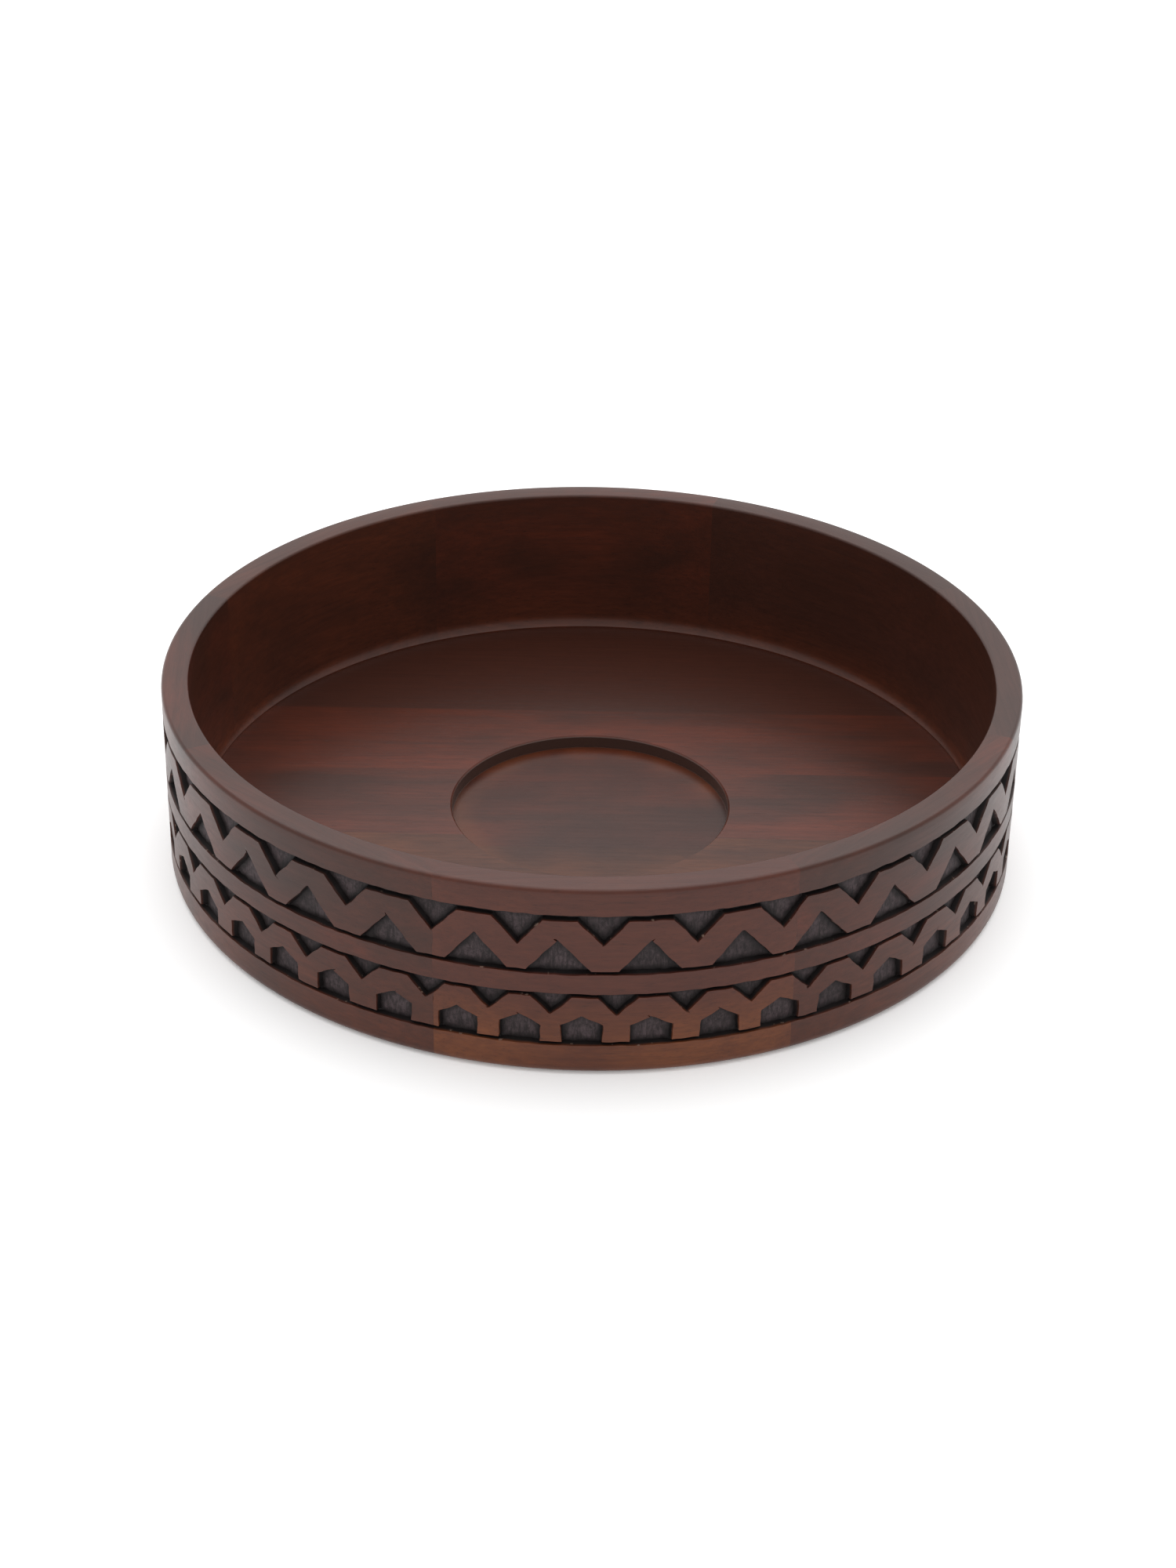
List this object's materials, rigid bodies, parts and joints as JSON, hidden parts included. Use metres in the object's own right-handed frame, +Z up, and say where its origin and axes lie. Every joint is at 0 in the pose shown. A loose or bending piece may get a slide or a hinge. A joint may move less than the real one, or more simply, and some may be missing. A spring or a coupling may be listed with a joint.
{
  "type": "carved wooden bowl",
  "caption": "Wide, low, straight-sided round wooden bowl with two bands of shallow geometric carving outside and a shallow round well in the middle of its floor",
  "frame": {"origin": "in the middle of the base, on the plane that the bowl stands on", "axes": "+Z up through the open mouth; -Y is the front, with the orange-brown stave; the floor boards run along X"},
  "size_m": [0.305, 0.305, 0.07],
  "materials": {
    "carved_wall_wood": "dark walnut stain under a satin lacquer, with matt, darker carved pockets and grooves",
    "floor_wood": "dark walnut stain under a satin lacquer, with fine straight grain"
  },
  "bodies": {
    "root": {"wall_stave_1": "carved_wall_wood", "wall_stave_2": "carved_wall_wood", "wall_stave_3": "carved_wall_wood", "wall_stave_4": "carved_wall_wood", "wall_stave_5": "carved_wall_wood", "wall_stave_6": "carved_wall_wood", "wall_stave_7": "carved_wall_wood", "wall_stave_8": "carved_wall_wood", "floor_board_1": "floor_wood", "floor_board_2": "floor_wood", "floor_board_3": "floor_wood", "floor_board_4": "floor_wood", "floor_board_5": "floor_wood", "floor_board_6": "floor_wood", "floor_board_7": "floor_wood"}
  },
  "joints": []
}
